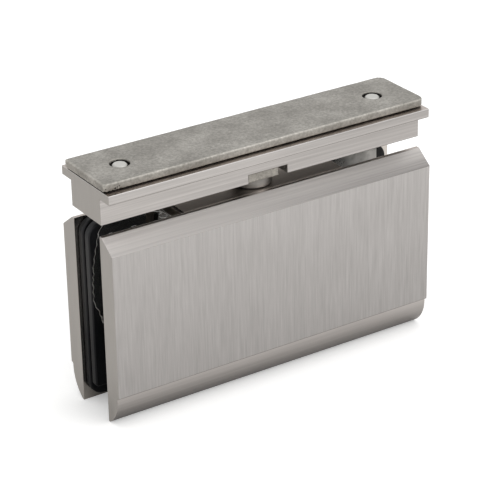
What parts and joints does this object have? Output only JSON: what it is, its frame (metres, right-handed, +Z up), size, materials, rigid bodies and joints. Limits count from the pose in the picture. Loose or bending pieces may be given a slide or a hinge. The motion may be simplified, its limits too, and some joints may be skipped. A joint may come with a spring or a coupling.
{
  "type": "glass door pivot hinge",
  "caption": "Brushed nickel pivot hinge that clamps a glass door between two plates and turns on a spindle under a screw-fixed mounting plate.",
  "frame": {"origin": "on the pivot axis, level with the feet of the clamp plates", "axes": "+X along the hinge to the right, +Y to the rear, +Z up along the spindle"},
  "size_m": [0.127, 0.0322, 0.0876],
  "materials": {
    "satin_nickel": "brushed satin nickel plating on solid brass",
    "smooth_nickel": "unbrushed nickel plating on a cast block",
    "raw_casting": "raw tumbled zinc die-casting, matt and mottled",
    "turned_stainless": "fine turned",
    "bright_steel": "bright zinc-plated",
    "black_steel": "black oxide",
    "spring_steel": "drawn wire",
    "bronze": "oiled sintered bronze",
    "black_nylon": "satin",
    "black_rubber": "smooth sheet, cut",
    "clear_film": "clear glossy film"
  },
  "bodies": {
    "mount": {"mounting_plate": "raw_casting", "cover": "satin_nickel", "mounting_screw_left": "bright_steel", "mounting_screw_right": "bright_steel", "pivot_spindle": "turned_stainless", "spindle_set_screw": "black_steel", "retaining_ring": "black_steel"},
    "clamp": {"front_plate": "satin_nickel", "rear_plate": "satin_nickel", "pivot_block": "smooth_nickel", "upper_bush": "bronze", "lower_bush": "bronze", "thrust_washer": "black_nylon", "end_washer": "bright_steel", "rear_gasket": "black_rubber", "front_gasket": "black_rubber", "gasket_film": "clear_film", "clamp_screw_top_left": "bright_steel", "clamp_screw_top_right": "bright_steel", "clamp_screw_bottom_left": "bright_steel", "clamp_screw_bottom_right": "bright_steel", "spring_plug_left": "black_steel", "spring_plug_right": "black_steel", "detent_spring_left": "spring_steel", "detent_spring_right": "spring_steel"},
    "left_plunger": {"detent_plunger_left": "turned_stainless"},
    "right_plunger": {"detent_plunger_right": "turned_stainless"}
  },
  "joints": [
    {"name": "door_swing", "type": "hinge", "parent": "mount", "child": "clamp", "pos_m": [0, 0, 0], "axis": [0, 0, 1], "range_deg": [-90, 90]},
    {"name": "left_detent", "type": "slide", "parent": "clamp", "child": "left_plunger", "axis": [1, 0, 0], "range_m": [0, 0.0009], "stiffness_N_per_m": 2000},
    {"name": "right_detent", "type": "slide", "parent": "clamp", "child": "right_plunger", "axis": [-1, 0, 0], "range_m": [0, 0.0009], "stiffness_N_per_m": 2000}
  ],
  "couplings": [
    {"joint": "right_detent", "follows": "left_detent", "ratio": 1}
  ]
}
